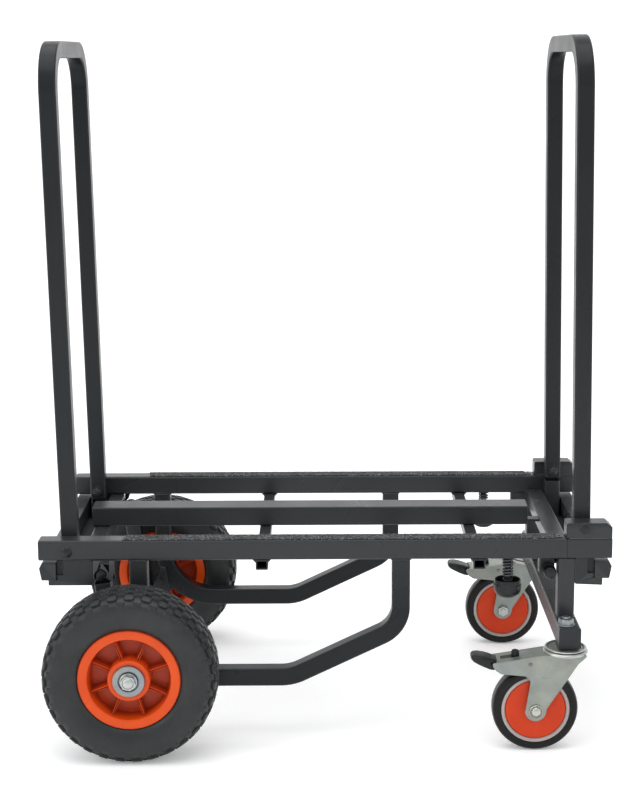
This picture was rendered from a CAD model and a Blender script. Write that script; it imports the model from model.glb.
# Steel deck cart with a hoop handle at each end, two large orange wheels and two casters.
# It lies along X: rear (large wheels) at -X, front (casters) at +X. The near side is -Y,
# the far side +Y, Z is up and the ground is z = 0. Lengths are in mm until a piece is placed.
import random
from math import atan2, copysign, cos, hypot, pi, radians, sin, sqrt, tan

import bmesh
import bpy
import numpy as np
from mathutils import Matrix, Vector


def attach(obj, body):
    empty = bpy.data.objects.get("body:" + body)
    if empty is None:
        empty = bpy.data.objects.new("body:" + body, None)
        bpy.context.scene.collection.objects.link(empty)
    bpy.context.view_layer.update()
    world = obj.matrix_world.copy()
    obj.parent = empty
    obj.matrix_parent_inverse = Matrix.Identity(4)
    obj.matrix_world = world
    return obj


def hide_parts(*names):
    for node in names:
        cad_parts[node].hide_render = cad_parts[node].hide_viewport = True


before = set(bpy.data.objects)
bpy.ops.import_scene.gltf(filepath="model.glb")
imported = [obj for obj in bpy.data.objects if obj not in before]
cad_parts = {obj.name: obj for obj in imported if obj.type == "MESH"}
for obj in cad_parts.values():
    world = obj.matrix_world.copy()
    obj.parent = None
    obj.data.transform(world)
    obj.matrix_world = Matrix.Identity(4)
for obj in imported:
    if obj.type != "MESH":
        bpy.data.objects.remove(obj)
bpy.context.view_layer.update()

MM = 0.001
NODES = set(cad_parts)
REAR, FRONT = "rear_frame", "front_frame"      # bodies shared by both sides
WOBBLE = random.Random(7)                      # unevenness of the weld beads

# ============================================================ dimensions
REAR_X, FRONT_X = -419.0, 419.0                # ends of the deck
RAIL_END_X = 353.2                             # open front end of the outer rail
DECK_HALF = 205.0                              # half the deck's width
RAIL = 30.0                                    # outer rail, square
RAIL_TOP = 310.0
RAIL_BOTTOM = RAIL_TOP - RAIL
RAIL_Z = RAIL_TOP - RAIL / 2
NEAR_Y = -(DECK_HALF - RAIL / 2)               # centre line of the near rail
REAR_PIVOT, FRONT_PIVOT = (-378.0, 293.0), (379.0, 326.0)      # handle pivots, x and z
REAR_KNOB, FRONT_KNOB = (-328.8, 257.0), (329.4, 257.4)        # lock knobs, x and z
WHEEL = (-282.0, -255.0, 127.0)                # centre of the near rear wheel
AXLE = (WHEEL[0], 0, WHEEL[2])
PLUNGER = (268.0, NEAR_Y, 0)
HOOP_HALF = 13.25                              # half the hoop tube's size
HOOP_PATH = [(-274.0, 279.6), (-274.0, 98.8), (-51.0, 98.8), (110.5, 175.5), (110.5, 279.6)]
HOOP_BENDS = [85.0, 70.0, 48.0]
POST_X = 353.0
BEAM_X, BEAM_TOP, BEAM = 354.0, 187.5, 32.0    # square beam carrying the casters
BEAM_BOTTOM = BEAM_TOP - BEAM
CASTER_X, CASTER_Y = 350.0, -228.0             # caster swivel axis
CASTER_WHEEL = (306.0, CASTER_Y, 63.0)


# ============================================================ materials
class Shader:
    """Builds one material's node tree; masks run from 0 to 1 and distances are metres."""

    def __init__(self, name):
        self.material = bpy.data.materials.new(name)
        self.material.use_nodes = True
        self.tree = self.material.node_tree
        self.surface = self.tree.nodes["Principled BSDF"]
        self.coords = self.node("TexCoord").outputs["Object"]
        self.normal = None

    def feed(self, socket, value):
        """Link an output into the socket, or set the socket to a plain value."""
        if hasattr(value, "is_output"):
            self.tree.links.new(value, socket)
        else:
            socket.default_value = value

    def node(self, kind, inputs=None, **settings):
        made = self.tree.nodes.new("ShaderNode" + kind)
        for key, value in settings.items():
            setattr(made, key, value)
        for key, value in (inputs or {}).items():
            self.feed(made.inputs[key], value)
        return made

    def remap(self, value, span, to=(0.0, 1.0)):
        sockets = {0: value, 1: span[0], 2: span[1], 3: to[0], 4: to[1]}
        return self.node("MapRange", sockets).outputs[0]

    def noise(self, scale, detail=4.0, rough=0.55, x_scale=None, span=None, to=(0.0, 1.0)):
        """Noise, drawn out along X by x_scale and remapped from span if these are given."""
        coords = self.coords
        if x_scale:
            stretch = {"Vector": coords, "Scale": (x_scale, 1.0, 1.0)}
            coords = self.node("Mapping", stretch).outputs["Vector"]
        made = self.node("TexNoise", {"Scale": scale, "Detail": detail, "Roughness": rough,
                                      "Vector": coords}).outputs["Fac"]
        return self.remap(made, span, to) if span else made

    def voronoi(self, scale):
        return self.node("TexVoronoi", {"Scale": scale, "Vector": self.coords})

    def pointiness(self, span):
        return self.remap(self.node("NewGeometry").outputs["Pointiness"], span)

    def math(self, operation, first, second):
        return self.node("Math", {0: first, 1: second}, operation=operation).outputs[0]

    def mix(self, base, over, mask, share=None):
        """Lay one colour over another through a mask, weakened by share if given."""
        if share is not None:
            mask = self.math("MULTIPLY", mask, share)
        base, over = ((*colour, 1.0) if isinstance(colour, tuple) else colour
                      for colour in (base, over))
        return self.node("Mix", {0: mask, 6: base, 7: over}, data_type="RGBA").outputs[2]

    def bump(self, height, strength, distance):
        """Add a bump on top of those made so far."""
        made = self.node("Bump", {"Height": height, "Strength": strength, "Distance": distance})
        if self.normal:
            self.feed(made.inputs["Normal"], self.normal)
        self.normal = made.outputs["Normal"]

    def finish(self, colour, rough, specular, metal=0.0):
        values = {"Base Color": colour, "Roughness": rough, "Metallic": metal,
                  "Specular IOR Level": specular, "Coat Roughness": 0.25,
                  "Normal": self.normal}
        for key, value in values.items():
            self.feed(self.surface.inputs[key], value)
        return self.material


def paint(name, dark, light, rough=(0.24, 0.36), specular=0.30):
    """Semi gloss powder coat: orange peel, cloudy sheen, rubbed edges, fine dust and hairlines."""
    look = Shader(name)
    cloud = look.noise(scale=7.0, detail=1.5, rough=0.4, span=(0.35, 0.68))
    colour = look.mix(dark, light, cloud)
    hair = look.noise(scale=60.0, detail=6.0, rough=0.75, x_scale=0.12, span=(0.66, 0.70))
    colour = look.mix(colour, (0.055, 0.06, 0.065), hair, share=0.012)
    worn_edge = look.pointiness(span=(0.505, 0.56))
    colour = look.mix(colour, (0.08, 0.085, 0.09), worn_edge, share=0.30)
    normal = look.node("SeparateXYZ", {0: look.node("NewGeometry").outputs["Normal"]})
    facing_up = look.remap(normal.outputs["Z"], span=(0.3, 1.0))
    specks = look.noise(scale=35.0, detail=6.0, rough=0.7, span=(0.42, 0.75), to=(0.0, 0.035))
    dust = look.math("MULTIPLY", facing_up, specks)
    colour = look.mix(colour, (0.32, 0.31, 0.29), dust)
    sheen = look.noise(scale=14.0, detail=1.5, rough=0.4, span=(0.2, 0.8), to=rough)
    sheen = look.math("ADD", sheen, look.math("MULTIPLY", dust, 1.2))
    look.bump(look.noise(scale=28.0, detail=2.0), strength=0.07, distance=0.0004)
    look.bump(look.noise(scale=520.0, detail=2.0, rough=0.5), strength=0.13, distance=0.00018)
    return look.finish(colour, sheen, specular)


def zinc(name, dark, light, rough=(0.26, 0.46), metal=0.92):
    """Zinc plate: drifting warm and cool passivation, rolled streaks, fine scratches."""
    look = Shader(name)
    cloud = look.noise(scale=38.0, rough=0.6, span=(0.3, 0.7))
    tint = look.noise(scale=14.0, detail=3.0, rough=0.5)
    warm = tuple(c * gain for c, gain in zip(light, (1.20, 1.12, 0.92)))
    cool = tuple(c * gain for c, gain in zip(light, (0.88, 0.98, 1.14)))
    colour = look.mix(dark, light, cloud)
    colour = look.mix(colour, warm, look.remap(tint, span=(0.4, 0.7)), share=0.45)
    colour = look.mix(colour, cool, look.remap(tint, span=(0.5, 0.25)), share=0.35)
    scratches = look.noise(scale=140.0, detail=5.0, rough=0.8, x_scale=0.08, span=(0.63, 0.68))
    colour = look.mix(colour, tuple(c * 0.55 for c in dark), scratches, share=0.25)
    sheen = look.noise(scale=80.0, rough=0.6, span=(0.3, 0.7), to=rough)
    look.bump(look.voronoi(scale=420.0).outputs["Distance"], strength=0.05, distance=0.0003)
    look.bump(look.noise(scale=600.0, detail=2.0), strength=0.10, distance=0.00015)
    look.bump(scratches, strength=0.10, distance=0.0001)
    return look.finish(colour, sheen, specular=0.5, metal=metal)


def rubber(name, dark, light, rough, dusty, specular):
    """Moulded rubber: mottled bloom, mould grain, darker low places and dust specks."""
    look = Shader(name)
    bloom = look.noise(scale=26.0, detail=5.0, rough=0.6, span=(0.3, 0.7))
    colour = look.mix(dark, light, bloom)
    hollows = look.pointiness(span=(0.50, 0.44))
    colour = look.mix(colour, (0.0035, 0.0040, 0.0042), hollows, share=0.75)
    specks = look.noise(scale=300.0, detail=3.0, rough=0.7, span=(0.58, 0.74))
    colour = look.mix(colour, (0.16, 0.155, 0.145), specks, share=dusty)
    sheen = look.noise(scale=60.0, detail=5.0, rough=0.65, span=(0.3, 0.7), to=rough)
    look.bump(look.noise(scale=48.0, detail=3.0), strength=0.15, distance=0.0006)
    look.bump(look.noise(scale=900.0, detail=2.0), strength=0.25, distance=0.00015)
    return look.finish(colour, sheen, specular)


def moulded(name, dark, light, rough, grain, grime_colour, grain_depth=0.15, specular=0.5,
            grime=0.12, shade_reach=0.0):
    """Moulded or coated colour: slow drift, grain, grime in corners, shade within shade_reach."""
    look = Shader(name)
    colour = look.mix(dark, light, look.noise(scale=18.0, span=(0.32, 0.68)))
    hollows = look.math("MULTIPLY", look.pointiness(span=(0.495, 0.43)), 0.8)
    spots = look.noise(scale=160.0, detail=5.0, rough=0.7, span=(0.60, 0.76))
    dirt = look.math("ADD", hollows, look.math("MULTIPLY", spots, 0.5))
    colour = look.mix(colour, grime_colour, dirt, share=grime)
    if shade_reach:
        occlusion = look.node("AmbientOcclusion", {"Distance": shade_reach}, samples=6)
        shade = look.remap(occlusion.outputs["AO"], span=(0.30, 0.92), to=(0.72, 0.0))
        colour = look.mix(colour, grime_colour, shade)
    sheen = look.noise(scale=45.0, detail=5.0, rough=0.6, span=(0.3, 0.7), to=rough)
    look.bump(look.noise(scale=40.0, detail=3.0), strength=0.10, distance=0.0005)
    look.bump(look.noise(scale=grain, detail=2.0), strength=grain_depth, distance=0.00015)
    return look.finish(colour, sheen, specular)


def gritty(name):
    """Mineral grip tape: every grain a little different in tone."""
    look = Shader(name)
    grains = look.voronoi(scale=780.0)
    cell = look.node("SeparateColor", {0: grains.outputs["Color"]})
    tones = look.node("ValToRGB", {"Fac": cell.outputs[0]})
    stops = [(0.0, (0.006, 0.006, 0.007)), (0.6, (0.017, 0.018, 0.019)),
             (0.86, (0.075, 0.077, 0.08)), (1.0, (0.30, 0.30, 0.30))]
    elements = tones.color_ramp.elements
    while len(elements) < len(stops):
        elements.new(0.5)
    for element, (position, tone) in zip(elements, stops):
        element.position = position
        element.color = (*tone, 1.0)
    wear = look.noise(scale=24.0, detail=5.0, rough=0.7, span=(0.40, 0.75), to=(0.0, 0.16))
    colour = look.mix(tones.outputs["Color"], (0.08, 0.08, 0.08), wear)
    sheen = look.remap(cell.outputs[1], span=(0.0, 1.0), to=(0.45, 0.95))
    look.bump(grains.outputs["Distance"], strength=0.7, distance=0.0005)
    look.bump(look.noise(scale=1500.0, detail=2.0), strength=0.4, distance=0.0003)
    return look.finish(colour, sheen, specular=0.25)


PAINT = paint("paint_black", dark=(0.0050, 0.0064, 0.0078), light=(0.0088, 0.0108, 0.0128))
PAINT_TUBE = paint("paint_black_tube", dark=(0.0036, 0.0046, 0.0056),
                   light=(0.0062, 0.0078, 0.0092), specular=0.20)
PAINT_INNER = paint("paint_black_inner", dark=(0.005, 0.006, 0.007),
                    light=(0.008, 0.009, 0.010), rough=(0.5, 0.7), specular=0.25)
PAINT_BRACKET = paint("paint_black_bracket", dark=(0.022, 0.024, 0.026),
                      light=(0.036, 0.038, 0.040), rough=(0.30, 0.46), specular=0.5)
WELD = paint("paint_weld", dark=(0.009, 0.011, 0.012), light=(0.016, 0.018, 0.020),
             rough=(0.24, 0.38), specular=0.42)
BOLT = paint("paint_bolt", dark=(0.010, 0.012, 0.013), light=(0.020, 0.022, 0.024),
             rough=(0.26, 0.40), specular=0.42)
TAPE = gritty("grip_grit")
ZINC = zinc("zinc_plate", dark=(0.38, 0.40, 0.39), light=(0.50, 0.52, 0.51))
ZINC_WASHER = zinc("zinc_washer", dark=(0.22, 0.235, 0.24), light=(0.30, 0.32, 0.33),
                   rough=(0.30, 0.48))
ZINC_FORK = zinc("zinc_fork", dark=(0.205, 0.228, 0.214), light=(0.285, 0.309, 0.290),
                 rough=(0.34, 0.52), metal=0.80)
ZINC_DARK = zinc("zinc_recess", dark=(0.12, 0.13, 0.13), light=(0.22, 0.23, 0.23),
                 rough=(0.35, 0.55))
STEEL = zinc("steel_spring", dark=(0.05, 0.055, 0.06), light=(0.13, 0.135, 0.14),
             rough=(0.25, 0.45))
RUBBER = rubber("tyre_rubber", dark=(0.0125, 0.0145, 0.0150), light=(0.0200, 0.0228, 0.0238),
                rough=(0.34, 0.54), dusty=0.08, specular=0.36)
CASTER_RUBBER = rubber("caster_rubber", dark=(0.004, 0.0038, 0.0036),
                       light=(0.008, 0.0076, 0.0072), rough=(0.26, 0.40), dusty=0.05,
                       specular=0.22)
ORANGE = moulded("rim_orange", dark=(0.62, 0.060, 0.004), light=(0.70, 0.076, 0.006),
                 rough=(0.26, 0.40), grain=500.0, grain_depth=0.12, specular=0.26,
                 grime_colour=(0.26, 0.030, 0.012), shade_reach=0.024)
CASTER_ORANGE = moulded("caster_orange", dark=(0.50, 0.032, 0.004), light=(0.58, 0.045, 0.006),
                        rough=(0.32, 0.48), grain=600.0, specular=0.22, grime=0.10,
                        grime_colour=(0.20, 0.03, 0.01))
CORE = moulded("caster_core_grey", dark=(0.30, 0.265, 0.255), light=(0.39, 0.345, 0.33),
               rough=(0.40, 0.60), grain=500.0, grime=0.25, grime_colour=(0.14, 0.12, 0.11))
PLASTIC = moulded("plastic_black", dark=(0.005, 0.006, 0.006), light=(0.010, 0.011, 0.012),
                  rough=(0.26, 0.42), grain=900.0, grain_depth=0.35, specular=0.32,
                  grime_colour=(0.06, 0.06, 0.06))

# ============================================================ geometry helpers
# A shape is a pair: vertex positions and faces.
X_AXIS, Y_AXIS, Z_AXIS = (1, 0, 0), (0, 1, 0), (0, 0, 1)
# lathe axis, then the directions of angle 0 and of a quarter turn
AXES = {'X': (X_AXIS, Y_AXIS, Z_AXIS), 'Y': (Y_AXIS, Z_AXIS, X_AXIS),
        'Z': (Z_AXIS, X_AXIS, Y_AXIS)}


def unpack(bm):
    """Turn a bmesh into a shape and free it."""
    bmesh.ops.recalc_face_normals(bm, faces=bm.faces)
    bm.verts.index_update()
    verts = [tuple(vert.co) for vert in bm.verts]
    faces = [tuple(vert.index for vert in face.verts) for face in bm.faces]
    bm.free()
    return verts, faces


def roll_edges(bm, edges, rounding, steps):
    bmesh.ops.bevel(bm, geom=edges, offset=rounding, segments=steps, affect='EDGES',
                    profile=0.5, clamp_overlap=True)


def block(x, y, z, rounding, steps=2):
    """Block between the x, y and z pairs, with rolled edges."""
    bm = bmesh.new()
    verts = [bm.verts.new((a, b, c)) for a in x for b in y for c in z]
    for face in ((0, 1, 3, 2), (4, 6, 7, 5), (0, 4, 5, 1), (2, 3, 7, 6), (0, 2, 6, 4),
                 (1, 5, 7, 3)):
        bm.faces.new([verts[i] for i in face])
    bmesh.ops.recalc_face_normals(bm, faces=bm.faces)
    roll_edges(bm, list(bm.edges), rounding, steps)
    return unpack(bm)


def slab(outline, origin, across, up, along, start, end, rounding, steps=2):
    """Outline in the across, up plane at origin, extruded along, its rims rolled."""
    origin, across, up, along = map(Vector, (origin, across, up, along))
    bm = bmesh.new()
    low, high = ([bm.verts.new(origin + across * a + up * b + along * at) for a, b in outline]
                 for at in (start, end))
    bm.faces.new(low)
    bm.faces.new(list(reversed(high)))
    for i in range(len(outline)):
        j = (i + 1) % len(outline)
        bm.faces.new([low[j], low[i], high[i], high[j]])
    bmesh.ops.recalc_face_normals(bm, faces=bm.faces)
    if rounding > 0:
        rims = [edge for edge in bm.edges
                if any(edge.verts[0] in ring and edge.verts[1] in ring for ring in (low, high))]
        roll_edges(bm, rims, rounding, steps)
    return unpack(bm)


def side_plate(outline, y0, y1, rounding=0.6, steps=2):
    """Plate with an (x, z) outline between y0 and y1."""
    return slab(outline, (0, 0, 0), X_AXIS, Z_AXIS, Y_AXIS, y0, y1, rounding, steps)


def rounded(rows, steps=5):
    """Closed outline with rounded corners from (a, b, corner radius) rows."""
    corners = [Vector(row[:2]) for row in rows]
    outline = []
    for i, corner in enumerate(corners):
        back, ahead = corners[i - 1] - corner, corners[(i + 1) % len(corners)] - corner
        to_back, to_ahead = back.normalized(), ahead.normalized()
        angle = to_back.angle(to_ahead)
        radius = rows[i][2]
        if radius <= 0.01 or angle > pi - 0.02:
            outline.append(tuple(corner))
            continue
        reach = min(radius / tan(angle / 2), back.length * 0.49, ahead.length * 0.49)
        radius = reach * tan(angle / 2)
        centre = corner + (to_back + to_ahead).normalized() * (radius / sin(angle / 2))
        first = corner + to_back * reach - centre
        last = corner + to_ahead * reach - centre
        start = atan2(first.y, first.x)
        sweep = atan2(last.y, last.x) - start
        while sweep > pi:
            sweep -= 2 * pi
        while sweep < -pi:
            sweep += 2 * pi
        for k in range(steps + 1):
            turn = start + sweep * k / steps
            outline.append((centre.x + radius * cos(turn), centre.y + radius * sin(turn)))
    return outline


def stack(sections):
    """Vertices of equally long point rings, and each ring's vertex indices."""
    size = len(sections[0])
    rings = [tuple(range(i * size, (i + 1) * size)) for i in range(len(sections))]
    return [tuple(point) for section in sections for point in section], rings


def bridge(rings):
    """Quads between each index ring and the next."""
    return [(low[k], high[k], high[(k + 1) % len(low)], low[(k + 1) % len(low)])
            for low, high in zip(rings, rings[1:]) for k in range(len(low))]


def lathe(profile, centre, axis, segments=64, closed=False, reshape=None):
    """Spin (radius, along) points; reshape(angle, radius, along) may change the radius."""
    along, across, up = (Vector(direction) for direction in AXES[axis])
    centre = Vector(centre)
    verts, faces, rings = [], [], []
    for radius, offset in profile:
        start = len(verts)
        for k in range(segments if radius > 0 else 1):
            angle = 2 * pi * k / segments
            reach = reshape(angle, radius, offset) if reshape else radius
            verts.append(tuple(centre + along * offset + across * (reach * cos(angle))
                               + up * (reach * sin(angle))))
        rings.append(tuple(range(start, len(verts))))
    for low, high in zip(rings, rings[1:] + (rings[:1] if closed else [])):
        if len(low) == 1:
            faces += [(low[0], high[k], high[(k + 1) % segments]) for k in range(segments)]
        elif len(high) == 1:
            faces += [(low[k], high[0], low[(k + 1) % segments]) for k in range(segments)]
        else:
            faces += bridge([low, high])
    return verts, faces


def cylinder(centre, axis, radius, start, end, segments):
    profile = [(0, start), (radius, start), (radius, end), (0, end)]
    return lathe(profile, centre, axis, segments)


def both_sides(half):
    """Lathe profile followed by its mirror image."""
    return half + [(radius, -offset) for radius, offset in reversed(half)]


def hexagon(centre, axis, flats, start, end, bore, chamfer, both_ends=False, turn=0.0):
    """Hex nut with the turned chamfer on its outer corners, or on both ends."""
    half = flats / 2
    height = abs(end - start)
    way = 1.0 if end > start else -1.0
    cuts = [chamfer * share for share in (1.0, 0.7, 0.35, 0.0)]
    levels = (cuts[::-1] if both_ends else [0.0]) + [height - cut for cut in cuts]
    profile = [(bore, 0.0)] + [(half, level) for level in levels] + [(bore, height)]

    def reshape(angle, radius, offset):
        if abs(radius - half) > 1e-6:
            return radius
        level = (offset - start) * way
        limits = [half / cos((angle + turn) % (pi / 3) - pi / 6),
                  half * 0.985 + (height - level) * 1.75]
        if both_ends:
            limits.append(half * 0.985 + level * 1.75)
        return min(limits)

    return lathe([(radius, start + way * level) for radius, level in profile], centre, axis,
                 72, True, reshape)


def rounded_rect(half_a, half_b, radius, steps):
    outline = []
    a, b = half_a - radius, half_b - radius
    for centre_a, centre_b, start in ((a, b, 0), (-a, b, 90), (-a, -b, 180), (a, -b, 270)):
        for k in range(steps + 1):
            angle = radians(start + 90 * k / steps)
            outline.append((centre_a + radius * cos(angle), centre_b + radius * sin(angle)))
    return outline


def fillet_path(points, radii, steps):
    """Path with an arc at each inner point."""
    points = [Vector(point) for point in points]
    path = [points[0].copy()]
    for before, corner, after, radius in zip(points, points[1:], points[2:], radii):
        back, ahead = (before - corner).normalized(), (after - corner).normalized()
        angle = back.angle(ahead)
        reach = radius / tan(angle / 2)
        first = corner + back * reach
        centre = corner + (back + ahead).normalized() * (radius / sin(angle / 2))
        axis = (first - centre).cross(corner + ahead * reach - centre).normalized()
        for k in range(steps + 1):
            turn = Matrix.Rotation((pi - angle) * k / steps, 3, axis)
            path.append(centre + turn @ (first - centre))
    path.append(points[-1].copy())
    return path


def tube(path, normal, half, corner, wall=2.0, shut_start=False, shut_end=False, steps=4):
    """Hollow square tube along a planar path; half holds its half sizes along the plane's
    normal and across it. An open end shows its wall, a shut end is closed over."""
    normal = Vector(normal).normalized()
    path = [Vector(point) for point in path]
    runs = [(b - a).normalized() for a, b in zip(path, path[1:])]
    headings = [(runs[0], 1.0)]
    for before, after in zip(runs, runs[1:]):
        stretch = 1.0 / max(0.5, cos(before.angle(after) / 2))
        headings.append(((before + after).normalized(), stretch))
    headings.append((runs[-1], 1.0))

    def skin(thinner, radius, start_lip, end_lip):
        """Point rings; a lip lists (distance in from the end, inset of the section)."""
        stations = [(path[0] + runs[0] * depth, headings[0], inset)
                    for depth, inset in start_lip]
        stations += [(point, heading, 0.0)
                     for point, heading in zip(path[1:-1], headings[1:-1])]
        stations += [(path[-1] - runs[-1] * depth, headings[-1], inset)
                     for depth, inset in reversed(end_lip)]
        rings = []
        for point, (heading, stretch), inset in stations:
            side = heading.cross(normal).normalized()
            section = rounded_rect(half[0] - thinner - inset, half[1] - thinner - inset,
                                   max(0.3, radius - inset), steps)
            rings.append([point + normal * a + side * (b * stretch) for a, b in section])
        return rings

    lip = [(0.0, 0.5), (0.15, 0.15), (0.5, 0.0)]
    outside = skin(0.0, corner, lip, lip)
    inside = skin(wall, max(0.6, corner - wall), [(3.0 if shut_start else 0.0, 0.0)],
                  [(3.0 if shut_end else 0.0, 0.0)])
    verts, rings = stack(outside + inside)
    outer, inner = rings[:len(outside)], rings[len(outside):]
    faces = bridge(outer) + [face[::-1] for face in bridge(inner)]
    for shut, rim, bore in ((shut_start, outer[0], inner[0]), (shut_end, outer[-1], inner[-1])):
        if shut:
            faces += [rim, bore]
        else:
            for k in range(len(rim)):
                j = (k + 1) % len(rim)
                faces.append((rim[k], rim[j], bore[j], bore[k]))
    return verts, faces


def rod(path, radius, scale=None, segments=10):
    """Closed round bar; scale(distance run, total length) scales its radius."""
    path = [Vector(point) for point in path]
    total = sum((b - a).length for a, b in zip(path, path[1:]))
    sections = []
    up = None
    run = 0.0
    for i, point in enumerate(path):
        heading = (path[min(i + 1, len(path) - 1)] - path[max(i - 1, 0)]).normalized()
        if up is None:
            up = heading.cross(Vector((0.31, 0.22, 0.93))).normalized()
        up = (up - heading * up.dot(heading)).normalized()
        side = heading.cross(up)
        if i:
            run += (point - path[i - 1]).length
        reach = radius * (scale(run, total) if scale else 1.0)
        angles = [2 * pi * k / segments for k in range(segments)]
        sections.append([point + up * (reach * cos(angle)) + side * (reach * sin(angle))
                         for angle in angles])
    verts, rings = stack(sections)
    return verts, bridge(rings) + [rings[0], rings[-1][::-1]]


def bead(start, end, radius):
    """Rippled weld bead, its ends run out."""
    taper, pitch, step = 1.6, 1.9, 0.42
    start, end = Vector(start), Vector(end)
    count = max(8, int((end - start).length / step))
    wobble = [WOBBLE.uniform(-0.12, 0.12) for _ in range(count + 1)]
    side = (end - start).normalized().cross(Vector((0.2, 0.5, 0.84))).normalized()
    path = [start.lerp(end, i / count) + side * wobble[i] for i in range(count + 1)]

    def scale(run, total):
        ends = [sqrt(max(0.0, 1 - (1 - min(1, (left + 0.02) / taper)) ** 2))
                for left in (run, total - run)]
        return max(min(1.0, *ends), 0.12) * (0.86 + 0.20 * abs(sin(pi * run / pitch)))

    return rod(path, radius, scale)


def join(*shapes):
    verts, faces = [], []
    for more_verts, more_faces in shapes:
        start = len(verts)
        verts += list(more_verts)
        faces += [tuple(i + start for i in face) for face in more_faces]
    return verts, faces


def beads(*rows):
    """Weld beads from (start, end, radius) rows."""
    return join(*[bead(*row) for row in rows])


def mirrored(shape):
    """The shape on the other side of the y = 0 plane."""
    return [(x, -y, z) for x, y, z in shape[0]], [tuple(reversed(face)) for face in shape[1]]


def new_object(name, verts, faces):
    mesh = bpy.data.meshes.new(name)
    mesh.from_pydata(verts, [], faces)
    bm = bmesh.new()
    bm.from_mesh(mesh)
    bmesh.ops.recalc_face_normals(bm, faces=bm.faces)
    bm.to_mesh(mesh)
    bm.free()
    made = bpy.data.objects.new(name, mesh)
    bpy.context.scene.collection.objects.link(made)
    return made


def boolean(shape, others, operation):
    body = new_object("boolean_body", *shape)
    for other in others:
        tool = new_object("boolean_tool", *other)
        modifier = body.modifiers.new("boolean", 'BOOLEAN')
        modifier.operation, modifier.solver, modifier.object = operation, 'EXACT', tool
        depsgraph = bpy.context.evaluated_depsgraph_get()
        mesh = bpy.data.meshes.new_from_object(body.evaluated_get(depsgraph))
        body.modifiers.clear()
        body.data = mesh
        bpy.data.objects.remove(tool, do_unlink=True)
    bm = bmesh.new()
    bm.from_mesh(body.data)
    bmesh.ops.remove_doubles(bm, verts=bm.verts, dist=0.002)
    result = unpack(bm)
    bpy.data.objects.remove(body, do_unlink=True)
    return result


def subtract(shape, cutter):
    return boolean(shape, [cutter], 'DIFFERENCE')


def unite(shape, other):
    return boolean(shape, [other], 'UNION')


def place(name, shape, material=PAINT, body=REAR, replaces=None, sharp=32):
    """Add a finished piece. Edges over sharp degrees stay crisp; replaces is a CAD node."""
    piece = new_object("v_" + name, (np.array(shape[0]) * MM).tolist(), shape[1])
    mesh = piece.data
    mesh.polygons.foreach_set("use_smooth", [True] * len(mesh.polygons))
    mesh.set_sharp_from_angle(angle=radians(sharp))
    mesh.materials.append(material)
    mesh.update()
    if len(mesh.vertices) < 30000:
        weighted = piece.modifiers.new("weighted", 'WEIGHTED_NORMAL')
        weighted.keep_sharp, weighted.weight = True, 80
    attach(piece, body)
    if replaces in NODES:
        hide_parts(replaces)


def place_pair(name, shape, material=PAINT, body=REAR, replaces=None, sharp=32):
    """Add a near piece and its far mirror image. Only the frames are shared between sides."""
    for side, half in (("near", shape), ("far", mirrored(shape))):
        owner = body if body in (REAR, FRONT) else f"{body}_{side}"
        node = replaces and f"{replaces}_{side}"
        place(f"{name}_{side}", half, material, owner, node, sharp)


# ============================================================ deck rails and middle bar
place_pair("rail_outer", tube([(REAR_X, NEAR_Y, RAIL_Z), (RAIL_END_X, NEAR_Y, RAIL_Z)], Y_AXIS,
                              half=(RAIL / 2, RAIL / 2), corner=3.4, shut_start=True, steps=5),
           replaces="rail_outer")
CAP_INSET = 2.2
place_pair("rail_end_cap", block((REAR_X - 0.9, REAR_X + 0.6),
                                 (-DECK_HALF + CAP_INSET, -DECK_HALF + RAIL - CAP_INSET),
                                 (RAIL_BOTTOM + CAP_INSET, RAIL_TOP - CAP_INSET), 0.7), PLASTIC)
place("mid_bar", tube([(-364, 0, 295.2), (317, 0, 295.2)], Y_AXIS, half=(22.5, 14.8),
                      corner=2.6, shut_start=True), PAINT_TUBE, replaces="mid_bar")
# cross tube under the rear end of the middle bar, tongue at its front end
place("mid_cross_rear", tube([(-349, -177.3, 267.6), (-349, 177.3, 267.6)], X_AXIS,
                             half=(12.0, 12.2), corner=2.4))
place("mid_tongue", block((314.8, 337.4), (-9.5, 9.5), (281.6, 285.7), 0.9, 3))
place("mid_weld", beads(((-361.2, -21.0, 280.2), (-361.2, 21.0, 280.2), 1.4),
                        ((-336.8, -21.0, 280.2), (-336.8, 21.0, 280.2), 1.4),
                        ((317.2, -8.5, 285.9), (317.2, 8.5, 285.9), 1.3)), WELD)


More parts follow.
